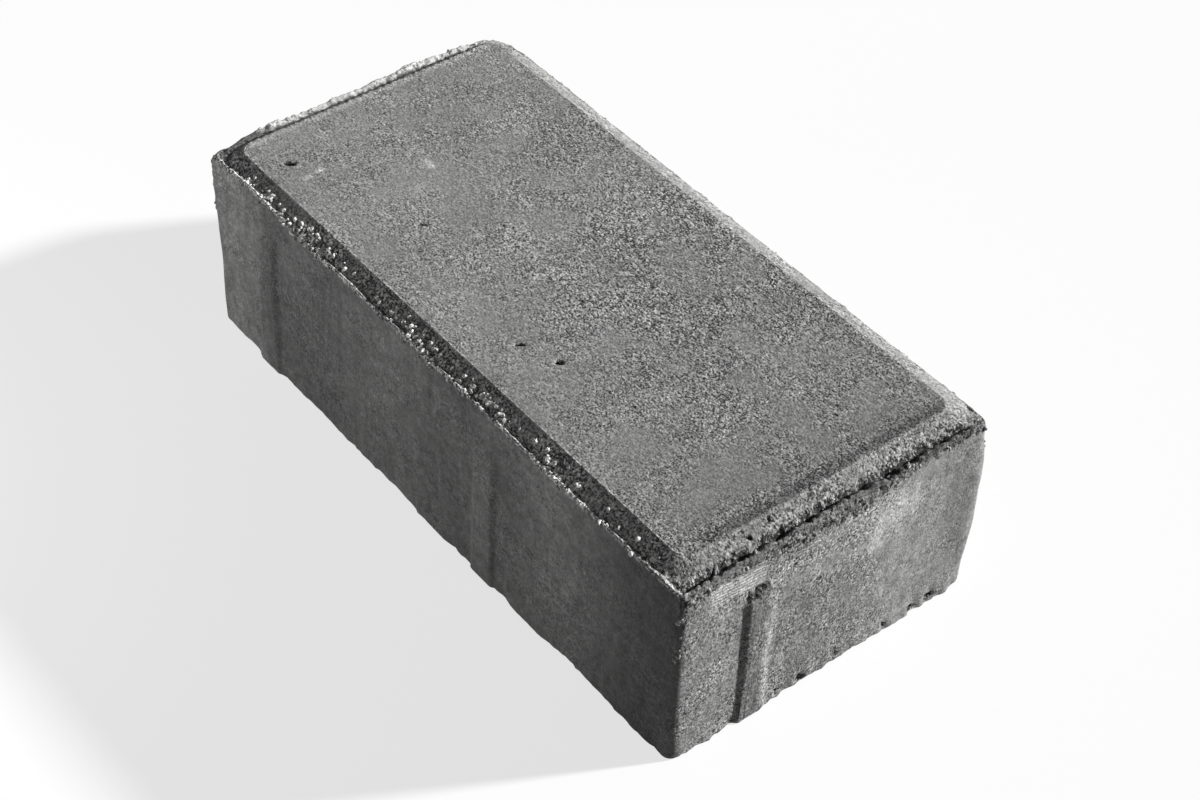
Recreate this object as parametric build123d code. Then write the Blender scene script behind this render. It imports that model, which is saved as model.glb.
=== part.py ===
from build123d import *
import os

# A concrete paving stone, pressed in a mould as one piece.
# It lies on its bed face, with X along its length and Z up.
# The origin is the middle of the bed face. All sizes are in millimetres.

# The laying grid. The body is one joint smaller than the grid each way.
grid_length = 200.0
grid_width = 100.0
joint_width = 2.0
stone_height = 60.0

# The edges of the body
corner_radius = 2.5
bed_edge_radius = 1.0

# The bevel that the press head leaves round the wearing face, and the narrow rim outside it,
# where the head clears the mould wall
rim_width = 2.0
bevel_width = 4.5
bevel_drop = 2.6
face_corner_radius = 4.5

# The spacer nibs: low upright ribs that keep the joint open, with a sloping head that ends below the rim
nib_projection = 1.5
nib_foot_width = 11.0
nib_crown_width = 6.5
nib_height = 46.0
nib_head_slope = 3.0
nib_crown_radius = 0.6
nib_root_depth = 4.0

# On every side the first nib stands this far from the corner on its left, seen from outside,
# and a long side repeats it once in each module
nib_setback = 24.5
nib_module = 100.0

body_length = grid_length - joint_width
body_width = grid_width - joint_width
rim_height = stone_height - bevel_drop


def outline(length, width, radius, height):
    """A rounded rectangle, lying level at the given height."""
    return Pos(0, 0, height) * RectangleRounded(length, width, radius)


def shaft():
    """The straight-sided part of the body, from the bed face up to the rim."""
    block = extrude(outline(body_length, body_width, corner_radius, 0), rim_height)
    bed_edges = block.faces().sort_by(Axis.Z)[0].edges()
    return fillet(bed_edges, min(bed_edge_radius, corner_radius / 2))


def bevel():
    """The bevelled top: from the inner edge of the rim up to the wearing face."""
    foot_inset = 2 * rim_width
    face_inset = foot_inset + 2 * bevel_width
    foot = outline(body_length - foot_inset, body_width - foot_inset, corner_radius, rim_height)
    face = outline(body_length - face_inset, body_width - face_inset, face_corner_radius, stone_height)
    return loft([foot, face], ruled=True)


def nib():
    """One spacer nib on the plane Y = 0, standing out towards -Y, with its root behind the plane."""
    half_foot = nib_foot_width / 2
    half_crown = nib_crown_width / 2
    section = make_face(
        Polyline(
            (-half_foot, nib_root_depth),
            (-half_foot, 0),
            (-half_crown, -nib_projection),
            (half_crown, -nib_projection),
            (half_foot, 0),
            (half_foot, nib_root_depth),
            close=True,
        )
    )
    crown_corners = section.vertices().sort_by(Axis.Y)[:2]
    rib = extrude(fillet(crown_corners, nib_crown_radius), nib_height)
    head = Plane(origin=(0, 0, nib_height), x_dir=(1, 0, 0), z_dir=(0, -nib_head_slope, nib_projection))
    return split(rib, bisect_by=head, keep=Keep.BOTTOM)


def side_nibs(side_length, side_distance, turn):
    """The nibs of one side, whose face lies side_distance from the origin and faces -Y turned by turn."""
    count = max(1, round(side_length / nib_module))
    places = [nib_setback - side_length / 2 + number * nib_module for number in range(count)]
    return [Rot(0, 0, turn) * Pos(place, -side_distance, 0) * nib() for place in places]


def paving_stone():
    """The whole stone: the body with the nibs on its four sides."""
    half_length = body_length / 2
    half_width = body_width / 2
    sides = [
        (body_length, half_width, 0),
        (body_width, half_length, 90),
        (body_length, half_width, 180),
        (body_width, half_length, 270),
    ]
    stone = shaft() + bevel()
    for side_length, side_distance, turn in sides:
        for rib in side_nibs(side_length, side_distance, turn):
            stone += rib
    return stone


os.makedirs("parts", exist_ok=True)
export_step(paving_stone(), "parts/paving_stone.step")
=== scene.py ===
import bpy
import math
import numpy as np
from functools import reduce
from mathutils import Matrix, Vector
from mathutils.geometry import delaunay_2d_cdt


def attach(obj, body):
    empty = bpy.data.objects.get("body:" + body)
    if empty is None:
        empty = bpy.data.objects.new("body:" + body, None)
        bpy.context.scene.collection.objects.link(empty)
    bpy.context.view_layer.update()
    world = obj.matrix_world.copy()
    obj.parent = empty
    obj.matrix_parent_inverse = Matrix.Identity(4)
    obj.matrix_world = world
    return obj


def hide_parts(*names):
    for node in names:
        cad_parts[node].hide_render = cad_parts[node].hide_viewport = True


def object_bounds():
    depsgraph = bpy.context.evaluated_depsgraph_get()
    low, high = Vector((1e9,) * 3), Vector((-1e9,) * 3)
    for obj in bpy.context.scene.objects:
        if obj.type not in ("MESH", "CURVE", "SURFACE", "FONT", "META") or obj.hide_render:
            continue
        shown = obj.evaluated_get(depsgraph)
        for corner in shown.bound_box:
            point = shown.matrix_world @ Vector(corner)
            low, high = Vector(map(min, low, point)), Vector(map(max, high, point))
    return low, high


# A concrete paving stone on a pale floor.
# The surface is worked out in millimetres and turned into metres when the mesh is made.

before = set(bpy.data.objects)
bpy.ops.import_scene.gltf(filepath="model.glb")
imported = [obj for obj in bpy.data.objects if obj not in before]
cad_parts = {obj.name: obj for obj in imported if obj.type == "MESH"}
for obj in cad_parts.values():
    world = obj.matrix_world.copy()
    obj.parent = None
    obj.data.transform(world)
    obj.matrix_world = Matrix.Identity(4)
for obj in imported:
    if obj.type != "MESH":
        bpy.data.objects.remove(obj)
cad_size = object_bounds()
low_corner, high_corner = cad_size

MM = 0.001

# The body's outline at its upper edge, with the corners anticlockwise from the right end of the front.
# Each side leans out a little towards the bed face, round the solid's face.
body_low = (-98.5, -48.9)
body_high = (98.3, 48.6)
far_left_corner = (body_low[0], body_high[1])
stone_height = round(high_corner[2] / MM, 3)
corner_radii = (1.5, 3.0, 4.0, 2.4)
bed_edge_radius = 0.75

# The spacer nibs, by the distance of their middles along each side
long_side_nibs = (-74.5, 25.5)
short_side_nibs = (-24.5,)
nib_projection = 1.1
nib_foot_width = 11.0
nib_crown_width = 6.5
nib_flank = (nib_foot_width - nib_crown_width) / 2
nib_height = 46.0
nib_head_length = 1.0

# The right end's nib is worn: its crown is narrower by this much, and falls off to the right by this share
nib_crown_wear = 1.0
nib_crown_tilt = 0.35

# The press head stood a little off the middle of the mould and a little turned, so the wearing face does too
face_low = (-94.0, -43.05)
face_high = (91.4, 41.87)
press_turn = 0.0033
face_corner_radii = (4.5, 4.5, 4.5, 4.5)

# The sides, anticlockwise from the one that faces -Y
side_names = ("front", "right", "back", "left")

# The section of the upper edge on those four sides. A place is the distance inwards from the side's face.
section = {
    "slope": (0.585, 0.5, 0.6, 0.52),
    "foot": (0.9, 2.4, 0.4, 2.6),
    "groove_place": (1.3, 2.03, 0.8, 2.6),
    "groove_width": (0.4, 0.7, 0.4, 0.4),
    "groove_depth": (0.1, 1.8, 0.1, 0.1),
    "crest_place": (0.35, 0.9, 0.4, 0.6),
    "crest_width": (0.35, 0.5, 0.4, 0.9),
    "crest_height": (0.65, 0.35, 0.1, 0.3),
    "shoulder": (0.4, 1.3, 0.5, 0.7),
    "notch_depth": (0.3, 0.15, 0.0, 0.0),
    "broken_from": (4.2, 2.0, 0.3, 2.4),
    "broken_down": (1.2, 6.0, 1.5, 2.5),
    "lean": (0.9, 1.6, 0.4, 0.3),
}

# How the looks of the four sides differ, as shares: how much better the crest is kept, how jagged the edge of
# the wearing face is, how much of the breaks is missing, and how the bevel and the side are grained and toned
side_looks = {
    "crest_extra": (0.25, 0.0, 0.0, 0.5),
    "jag": (0.06, 0.06, 0.06, 0.36),
    "unbroken": (0.0, 0.4, 0.0, 0.4),
    "bevel_smooth": (0.7, 0.9, 0.7, 0.7),
    "bevel_coarse": (0.75, 0.15, -0.2, -0.4),
    "bevel_tone": (0.0, -0.2, 0.12, 0.0),
    "side_coarse": (0.4, 0.75, 0.55, 0.75),
}

# Random changes over the stone: the usual value, then layers of drift with their strength, size and seed
changes = {
    "crest": (0.55, (0.8, 4.0, 1), (0.35, 1.6, 2)),
    "groove": (0.9, (0.45, 3.0, 3), (0.2, 1.2, 4)),
    "groove_sway": (0.0, (0.35, 5.0, 5), (0.3, 1.8, 6), (0.2, 0.9, 10)),
    "groove_spread": (1.1, (0.5, 1.4, 46)),
    "crevice": (0.85, (0.65, 1.5, 45)),
    "foot_sway": (0.0, (0.4, 6.0, 7)),
    "rim_lumps": (0.0, (0.3, 3.0, 43), (0.3, 1.3, 44)),
    "jag": (0.0, (1.0, 1.1, 41)),
    "notches": (0.0, (1.0, 2.4, 12)),
    "left_line": (2.1, (0.5, 2.0, 13), (0.4, 0.8, 14)),
    "edge_clusters": (0.0, (1.0, 4.0, 8), (0.7, 1.6, 9)),
    "side_clusters": (0.0, (1.0, 5.0, 8), (0.5, 2.0, 9)),
    "foot_waves": (0.0, (0.4, 9.0, 21), (0.35, 2.6, 22)),
    "bed_edge": (0.75, (0.7, 3.2, 23), (0.5, 1.4, 24)),
    "pit_edges": (1.0, (0.35, 1.1, 35)),
    "dent_edges": (1.0, (0.4, 1.3, 31)),
    "break_edges": (1.0, (0.35, 2.5, 34)),
    "end_clouds": (0.75, (0.45, 3.0, 33)),
    "nib_grime": (0.1, (0.3, 0.8, 38)),
    "corner_holes": (0.3, (1.5, 1.0, 37)),
    "pale_marks_and_highlight": (0.6, (1.0, 1.5, 36)),
}

# How much higher the upper edge stands in places along the front and the back, by x, and the left end, by y
front_lift = (
    (-98.0, -76.0, -62.0, -50.0, -16.0, 40.0, 66.0, 98.0),
    (0.1, 0.5, 0.2, -0.35, -0.3, -0.15, -0.4, 0.0),
)
back_lift = ((-98.0, -88.0, -40.0, 0.0, 50.0, 62.0, 90.0), (-1.8, -0.3, -0.3, -0.1, 0.0, 0.2, 0.3))
left_lift = (
    (-48.0, -42.0, -36.0, -30.0, -25.0, -20.0, -8.0, 0.0, 8.0, 16.0, 25.0, 32.0, 40.0, 47.0),
    (-1.9, -1.1, -0.1, 0.75, 0.2, -0.4, 0.15, -0.3, 0.1, 0.9, 0.15, -0.6, -1.4, -2.6),
)

# Where the crest along the front stands taller or is broken off: x, half length and change
crest_changes = (
    (-75.0, 9.0, 0.6),
    (-57.0, 9.0, -0.95),
    (-34.0, 10.0, 0.5),
    (-9.0, 2.5, -0.5),
    (27.0, 2.5, -0.6),
    (37.0, 8.0, 0.4),
    (86.0, 12.0, -0.95),
    (98.0, 3.0, -0.5),
)

# Where the crest along the front is also wider: x, half length and share
crest_spread = (-76.0, 11.0, 0.8)

# Where the groove along the right end is wider: y, half length and share
wide_grooves = ((20.0, 12.0, 1.0), (-38.0, 8.0, 0.8))

# Where bare grains crowd on the front bevel: x, half length and share
grain_clusters = ((-82.0, 4.0, 0.8), (-53.0, 9.5, 1.0), (-6.0, 7.0, 0.9), (24.0, 8.0, 0.8), (52.0, 9.0, 0.6))

# How pale or dark the cement is along the front, by x, and along the right end, by y. Along the front this is
# partly painted shade, darkest towards the right end, where the fill light is weaker.
front_stain_and_shade = (
    (-98.0, -90.0, -76.0, -71.0, -60.0, -44.0, -14.0, 2.0, 16.0, 26.0, 32.0, 55.0, 68.0, 80.0, 98.0),
    (1.05, 1.32, 1.02, 0.68, 0.74, 0.63, 1.03, 0.8, 0.78, 1.1, 0.9, 1.2, 0.95, 0.58, 0.4),
)
right_stain = (
    (-49.0, -38.0, -30.0, -16.0, -8.0, 5.0, 20.0, 49.0),
    (0.8, 0.95, 0.91, 0.84, 0.78, 0.8, 1.0, 0.97),
)

# How fine the mesh is, in steps or in millimetres
long_steps = 296
short_steps = 206
corner_steps = 12
nib_crowding = 1.1
band_rows = 24
strip_rows = 20
strip_depth = 47.0
shaft_rows = 27
bed_rows = 5
bed_edge_rows = 3
face_step = 0.7
face_margin = 0.3
pit_crowding = (1.6, 0.8)
pit_crowding_reach = 2.0
bed_step = 5.0
bed_rim = 5.0

# Below the strip the sides keep every second station, and the bed face keeps every fourth
shaft_stride = 2
bed_stride = 4

# Holes that air and loose grains left: x, y, half length, half width, depth and turn in degrees
face_pits = (
    (-80.2, -35.8, 1.7, 0.9, 1.3, 45.0),
    (-39.0, -22.0, 1.1, 0.4, 0.5, 45.0),
    (12.1, -29.6, 1.2, 0.6, 1.1, 45.0),
    (23.2, -25.4, 1.3, 0.65, 1.1, 45.0),
)
bevel_pits = (
    (91.9, -26.2, 0.6, 0.35, 0.7, 0.0),
    (93.7, -25.6, 0.75, 0.4, 0.8, 60.0),
    (92.4, -18.4, 0.6, 0.4, 0.7, 0.0),
    (95.3, -5.6, 1.1, 0.6, 0.9, 80.0),
)

# Pale marks on the wearing face, and a painted highlight beside the first pit: x, y, half length along x and
# along y, and strength
pale_marks_and_highlight = (
    (-72.5, -35.3, 0.9, 2.1, 1.5),
    (-73.2, -30.9, 0.9, 3.0, 1.5),
    (-58.5, -6.0, 3.5, 2.2, 0.8),
    (-52.0, -14.0, 2.0, 2.0, 0.8),
    # A painted highlight beside the pit at -80.2, -35.8
    (-77.8, -35.1, 0.8, 0.7, 0.8),
    (-90.6, 34.0, 0.9, 0.9, 1.1),
    (-77.5, 31.7, 1.2, 1.2, 1.1),
    (-85.5, 25.9, 1.0, 0.8, 1.0),
    (-74.1, 29.6, 0.8, 0.9, 1.0),
)

# Dents in the sides. A mark on a side is placed by the distance along it from its middle, anticlockwise, and
# its height: side, along, height, half length, half height, depth and turn in degrees.
dents = (
    ("right", -25.9, 44.6, 2.7, 1.1, 1.4, 12.0),
    ("right", -15.3, 2.8, 1.2, 0.9, 1.1, 0.0),
    ("right", -7.3, 1.7, 1.2, 0.8, 1.0, 0.0),
    ("right", 5.9, 2.6, 1.5, 0.8, 1.1, 20.0),
    ("right", 22.5, 2.4, 0.8, 1.1, 0.9, 0.0),
    ("right", 32.5, 1.8, 1.0, 0.8, 0.9, 0.0),
    ("right", 39.4, 2.2, 1.9, 0.9, 1.2, 25.0),
    ("left", -31.0, 4.0, 1.4, 1.0, 1.0, 10.0),
    ("back", 62.0, 3.0, 1.6, 1.0, 1.0, 0.0),
    ("back", -12.0, 22.0, 1.0, 0.8, 0.8, 0.0),
)

# Lumps of cement that leaked at the bed face: side, along, height, half length, half height and rise
lumps = (
    ("front", 45.5, 0.5, 8.0, 3.5, 0.4),
    ("front", 25.0, 0.0, 7.0, 3.0, 0.5),
    ("front", -77.0, 0.0, 6.0, 2.5, 0.5),
    ("right", -26.0, 0.0, 7.0, 3.0, 0.2),
    ("left", 20.0, 0.0, 9.0, 3.0, 0.6),
    ("back", -40.0, 0.0, 10.0, 3.0, 0.6),
)

# Corners that stand out: the corner, its reach, the rise and the heights over which that rise comes in
bulges = (
    (body_high, 8.0, 1.6, (0.0, 25.0)),
    (body_high, 8.0, -1.5, (42.0, 57.0)),
    (body_low, 6.0, 1.0, (20.0, 50.0)),
)

# From which share of its reach a hollow or a mark is whole, and at which it ends
pit_edge = (0.5, 1.25)
dent_edge = (0.6, 1.3)
lump_edge = (0.4, 1.0)
pale_mark_edge = (0.3, 1.0)
break_whole_share = 0.6

# The streaks that the mould dragged across the right end, beside its nib
streaks = {"from": -42.0, "to": -22.5, "low": 48.4, "high": 55.0, "incline": 0.12, "spacing": 1.0}
streak_fades = {"from": 1.5, "to": 2.0, "level": 0.6}

# On the right end the nib's right foot runs out to the right as it rises, into a ledge under the shoulder
flare_heights = (0.0, 22.0, 36.0, 43.0, 48.0, 49.2)
flare_places = (-19.3, -19.0, -17.9, -17.1, -16.0, -13.0)
flare_edge = {"inset": 0.6, "width": 1.3, "top_fade": 0.5}
ledge = {"height": 49.0, "rise": 0.5, "thickness": 1.4, "lit_line": 0.8}
ledge_begins = (-18.0, -15.5)
ledge_ends = (0.0, 14.0)

# Pale cement on the right end: along, height, half length, half height, whole share and strength
end_patches = (
    (6.0, 43.0, 30.0, 13.0, 0.5, 0.42),
    (23.0, 45.0, 12.0, 9.0, 0.3, 0.45),
)

# How far the broken strip reaches down the right end, by y
strip_reach = ((-50.0, -20.0, 0.0, 6.0, 14.0, 24.0, 45.0), (3.0, 3.0, 5.0, 7.0, 4.5, 2.2, 1.8))


def eased(part):
    """A share from 0 to 1, eased in and out."""
    return part * part * (3 - 2 * part)


def drift(places, size, seed):
    """Smooth random numbers from -1 to 1 at the places, which change over the given size."""
    lattice_turn = np.array((12.9898, 78.233, 37.719))
    lattice_scale = 43758.5453
    lattice_shift = np.array((7.31, 3.77, 5.13))
    scaled = places / size + seed * lattice_shift
    cell = np.floor(scaled)
    part = eased(scaled - cell)
    total = np.zeros(len(places))
    for step in np.ndindex(2, 2, 2):
        corner = cell + step
        value = np.modf(np.sin(corner @ lattice_turn) * lattice_scale)[0]
        share = np.prod(np.where(np.array(step) == 1, part, 1 - part), axis=1)
        total += share * value
    return total


def changing(name, places):
    """A random change at the places."""
    usual, *layers = changes[name]
    return usual + sum(strength * drift(places, size, seed) for strength, size, seed in layers)


def fade(values, low, high):
    """0 below low, 1 above high and a smooth change between them."""
    return eased(np.clip((values - low) / (high - low), 0, 1))


def fall(values, low, high):
    """1 below low, 0 above high and a smooth change between them."""
    return fade(-values, -high, -low)


def hump(values, place, width):
    """A smooth hump of height 1 at the place."""
    return np.exp(-(((values - place) / width) ** 2))


def humps(values, parts):
    """A sum of humps, each given by its place, width and height."""
    return sum(height * hump(values, place, width) for place, width, height in parts)


def near(flat, spot, reach):
    """1 at a spot in the plan, and less round it."""
    return hump(np.hypot(flat[:, 0] - spot[0], flat[:, 1] - spot[1]), 0.0, reach)


def off_oval(off_x, off_y, half_length, half_width, turn=0.0):
    """How far places lie from the middle of a turned oval, as a share of the way to its edge."""
    angle = math.radians(turn)
    along = (off_x * math.cos(angle) + off_y * math.sin(angle)) / half_length
    across = (off_y * math.cos(angle) - off_x * math.sin(angle)) / half_width
    return np.hypot(along, across)


def crowded(low, high, count, places, width, extra):
    """Numbers from low to high, closer together at the places."""
    fine_count = 2001
    fine = np.linspace(low, high, fine_count)
    crowding = 1 + sum(extra * hump(fine, place, width) for place in places)
    total = np.concatenate([[0], np.cumsum((crowding[1:] + crowding[:-1]) / 2)])
    return np.interp(np.linspace(0, 1, count), total / total[-1], fine)


def side_steps(length, nibs, count):
    """Shares of a side from 0 to 1 at which stations stand, closer together on the nibs' flanks."""
    flank_middle = (nib_foot_width + nib_crown_width) / 4
    flanks = [nib + way * flank_middle for nib in nibs for way in (-1, 1)]
    steps = crowded(-length / 2, length / 2, count + 1, flanks, nib_foot_width / 4, nib_crowding)
    return steps[:-1] / length + 0.5


side_lengths = (body_high[0] - body_low[0], body_high[1] - body_low[1])
long_shares = side_steps(side_lengths[0], long_side_nibs, long_steps)
short_shares = side_steps(side_lengths[1], short_side_nibs, short_steps)


def outline(low, high, radii):
    """The stations round a rounded rectangle: their places and the directions that point outwards."""
    (x0, y0), (x1, y1) = low, high
    a, b, c, d = radii
    corners = ((x1 - a, y0 + a), (x1 - b, y1 - b), (x0 + c, y1 - c), (x0 + d, y0 + d))
    starts = ((x0 + d, y0), (x1, y0 + a), (x1 - b, y1), (x0, y1 - c))
    ends = ((x1 - a, y0), (x1, y1 - b), (x0 + c, y1), (x0, y0 + d))
    places = []
    outward = []
    for number in range(4):
        shares = (long_shares, short_shares)[number % 2][:, None]
        start = np.array(starts[number])
        end = np.array(ends[number])
        places.append(start + shares * (end - start))
        angle = math.radians(90 * number - 90)
        outward.append(np.tile((math.cos(angle), math.sin(angle)), (len(shares), 1)))
        angles = angle + np.arange(corner_steps) / corner_steps * math.pi / 2
        turn = np.stack([np.cos(angles), np.sin(angles)], axis=1)
        places.append(np.array(corners[number]) + radii[number] * turn)
        outward.append(turn)
    return np.concatenate(places), np.concatenate(outward)


def side_shares():
    """How much each station belongs to each of the four sides, and how far along its side it stands."""
    shares = []
    along = []
    for number in range(4):
        steps = (long_shares, short_shares)[number % 2]
        own = np.zeros((len(steps), 4))
        own[:, number] = 1
        shares.append(own)
        along.append((steps - 0.5) * side_lengths[number % 2])
        turn = np.zeros((corner_steps, 4))
        part = np.arange(corner_steps) / corner_steps
        turn[:, number] = 1 - part
        turn[:, (number + 1) % 4] = part
        shares.append(turn)
        along.append(np.full(corner_steps, np.nan))
    shares = np.concatenate(shares)
    blend_width = 7.0
    blend_reach = 18
    steps = np.arange(-blend_reach, blend_reach + 1)
    smooth = sum(hump(step, 0, blend_width) * np.roll(shares, step, axis=0) for step in steps)
    return smooth / smooth.sum(axis=1, keepdims=True), shares, np.concatenate(along)


def off_outline(flat, low, high, radii):
    """How far places in the plan lie outside a rounded rectangle. It is less than zero inside."""
    middle = (np.array(low) + np.array(high)) / 2
    half = (np.array(high) - np.array(low)) / 2
    on_right = flat[..., 0] > middle[0]
    behind = flat[..., 1] > middle[1]
    radius = np.where(on_right, np.where(behind, radii[1], radii[0]), np.where(behind, radii[2], radii[3]))
    past = np.abs(flat - middle) - half
    corner = np.maximum(past + radius[..., None], 0)
    round_corner = np.hypot(corner[..., 0], corner[..., 1]) - radius
    return np.where((corner > 0).all(axis=-1), round_corner, past.max(axis=-1))


def slid(flat, turn):
    """Places in the plan, slid across as a small turn of the press head does."""
    return flat + flat[..., :1] * np.array((0.0, turn))


def off_face_edge(flat):
    """How far places in the plan lie outside the wearing face."""
    return off_outline(slid(flat, -press_turn), face_low, face_high, face_corner_radii)


def on_ring(flat, height):
    """Places in space from places in the plan and heights."""
    return np.column_stack([flat, np.broadcast_to(height, len(flat))])


outer_edge, outward = outline(body_low, body_high, corner_radii)
inner_edge = slid(outline(face_low, face_high, face_corner_radii)[0], press_turn)
edge_x, edge_y = outer_edge.T
soft_shares, hard_shares, along_side = side_shares()
front, right, back, left = soft_shares.T
station_count = len(outer_edge)
foot_stations = on_ring(outer_edge, 0.0)
top_stations = on_ring(outer_edge, stone_height)
band_widths = (
    face_low[1] - body_low[1],
    body_high[0] - face_high[0],
    body_high[1] - face_high[1],
    face_low[0] - body_low[0],
)


def by_side(values):
    """A value of the four sides at every station, blended round the corners."""
    return soft_shares @ np.array(values)


def off_nib(number, middle, height):
    """How far each station stands outside a nib's crown, in shares of its flank's width."""
    off = along_side - middle
    right_flank = np.full(station_count, nib_flank)
    crown_end = nib_crown_width / 2
    if side_names[number] == "right":
        crown_end -= nib_crown_wear
        foot = np.interp(height, flare_heights, flare_places) - middle
        right_flank = np.maximum(foot - crown_end, nib_flank)
    return np.where(off > 0, (off - crown_end) / right_flank, (-off - nib_crown_width / 2) / nib_flank)


def nib_rise(height):
    """How far the nibs stand out at every station, at the given heights."""
    rise = np.zeros(station_count)
    for number in range(4):
        for middle in (long_side_nibs, short_side_nibs)[number % 2]:
            standing = fall(off_nib(number, middle, height), 0.0, 1.0)
            if side_names[number] == "right":
                half_crown = nib_crown_width / 2
                standing *= 1 - nib_crown_tilt * fade(along_side - middle, -half_crown, half_crown)
            rise = np.maximum(rise, np.nan_to_num(standing) * (hard_shares[:, number] == 1))
    return rise * fall(height, nib_height - nib_head_length, nib_height) * nib_projection


def dig_pits(places):
    """Sinks the pits into the places. Returns them, and how far each lies in a pit."""
    ragged = changing("pit_edges", places)
    hole = np.zeros(len(places))
    for x, y, half_length, half_width, depth, turn in face_pits + bevel_pits:
        far = off_oval(places[:, 0] - x, places[:, 1] - y, half_length, half_width, turn)
        sink = fall(far * ragged, *pit_edge)
        places[:, 2] -= depth * sink
        hole = np.maximum(hole, sink)
    return places, hole


class Surface:
    """The places, faces and zones of the stone's surface as they are laid down."""

    usual_zones = {
        "sand": 1.0,
        "coarse": 1.0,
        "broken": 0.0,
        "side": 0.0,
        "grains": 0.0,
        "bare": 0.0,
        "hole": 0.0,
        "lines": 0.0,
        "tone": 1.0,
    }

    def __init__(self):
        self.places = []
        self.faces = []
        self.zones = {name: [] for name in self.usual_zones}
        self.count = 0

    def lay(self, places, **zones):
        """Adds places with their zones and returns their numbers."""
        numbers = np.arange(self.count, self.count + len(places))
        self.places.append(places)
        for name, usual in self.usual_zones.items():
            self.zones[name].append(np.broadcast_to(zones.get(name, usual), len(places)).astype(float))
        self.count += len(places)
        return numbers

    def join(self, upper, lower):
        """Faces between two rings. The lower one may have half as many stations."""
        after = np.roll(upper, -1)
        if len(upper) == len(lower):
            following = np.roll(lower, -1)
            self.faces += np.column_stack([upper, lower, following, after]).tolist()
            return
        first, middle, last = upper[0::2], upper[1::2], np.roll(upper, -2)[0::2]
        following = np.roll(lower, -1)
        self.faces += np.column_stack([first, lower, middle]).tolist()
        self.faces += np.column_stack([middle, lower, following]).tolist()
        self.faces += np.column_stack([middle, following, last]).tolist()

    def join_all(self, rings):
        """Faces between rings that follow each other."""
        for upper, lower in zip(rings, rings[1:]):
            self.join(upper, lower)

    def fill(self, ring, inner, skip, up):
        """Flat faces between a ring and the places inside it."""
        closest = 1e-7
        numbers = np.concatenate([ring, inner])
        places = np.concatenate(self.places)[numbers]
        flat = [Vector(place[:2]) for place in places]
        border = [(step, (step + 1) % len(ring)) for step in range(len(ring))]
        points, _, faces, sources, _, _ = delaunay_2d_cdt(flat, border, [], 0, closest)
        owners = [source[0] for source in sources]
        for face in faces:
            middle = sum((points[corner] for corner in face), Vector((0, 0))) / len(face)
            if skip is not None and skip(middle):
                continue
            a, b, c = (points[corner] for corner in face)
            anticlockwise = (b - a).cross(c - a) > 0
            order = [int(numbers[owners[corner]]) for corner in face]
            self.faces.append(order if anticlockwise == up else order[::-1])


surface = Surface()

# The shape of the upper edge
tallest_crest = 1.3
groove_deepening = (0.15, 1.6)
wide_groove_share = 0.7
sound_corner = {"reach": 3.5, "groove": 0.8, "broken": 0.7}
chipped_corner = {"reach": 5.0, "depth": 1.5}
notch_span = (0.25, 0.8)
notch_reach = 1.0
rim_lumps = {"usual": 0.3, "most": (-27.0, 12.0, 0.7), "ends": (34.0, 42.0)}

# The crevice beside the groove of the right end: a dark line of painted shade, also dented in the bump
crevice_inset = 0.25
crevice_reach = 1.15
crevice_gaps = (0.2, 1.3)
crevice_strength = (0.6, 1.1)
crevice_share = 0.68
crevice_wide_share = 0.35

# The broken, crumbling part: by x along the front, or else by the distance out from the wearing face
crumbling_begins = (-97.0, -84.0)
crumbling_thins = (76.0, 92.0)
crumbling_lost = 0.6
unbroken_gaps = 0.5
unbroken_crest = 0.4
outside_face_from = (0.1, 0.9)
cluster_span = (-0.5, 0.5)
grains_between_clusters = 0.2
grains_on_left_rim = 0.25
grains_on_right = 0.08
lone_grains = 0.06

# The left end's rim is closed near the front corner, where it gets painted shade, and open from there to the
# far one, where it gets a painted highlight
closed_corner_reach = 5.0
closed_rim_span = (-37.0, -31.0)
closed_rim_from = (0.5, 1.5)
open_rim_end = (36.0, 44.0)
open_rim_lost = 0.8
# Over this reach the far left corner of the back bevel is coarser and darkened with painted shade
far_left_reach = 14.0
far_left_coarse = 0.8

# How pale or dark parts of the upper edge are, where more than zero is paler
edge_tones = {
    "front bevel": 0.05,
    # Painted light: the front bevel is paler towards the right end, where the fill light is weaker
    "front bevel on the right": 0.3,
    "front lip": 0.4,
    # Painted highlight on the front crest, where it stands up into the key light
    "front crest": 1.1,
    "right groove": -0.35,
    "right groove behind": -0.15,
    "back rim": 0.12,
    "back edge": -0.3,
    # Painted shade on the far left corner, which would otherwise stand bright in the key light
    "far left corner": -0.25,
    # Painted highlight on the open rim of the left end, where it is lit
    "left rim": 1.1,
    # Painted shade: a dark line along the left bevel, which faces away from the light
    "left line": -0.56,
    # Painted shade on the left end's rim near the front corner, which faces away from the light
    "closed rim": -0.4,
}

# Where those tones come in: by x on the front, by y on the right end, by the share of the way outwards on
# the back, and otherwise by the distance from the wearing face or from the side
front_bevel_pales = (-10.0, 50.0)
front_lip_reach = 0.45
right_groove_darkens = (0.0, 15.0)
right_groove_line = (0.4, 1.0)
back_rim_begins = (0.5, 0.7)
back_edge_reach = 0.4
left_line_begins = (0.0, 0.3)
left_line_fade = 0.2
left_rim_begins = (0.1, 0.7)


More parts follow.
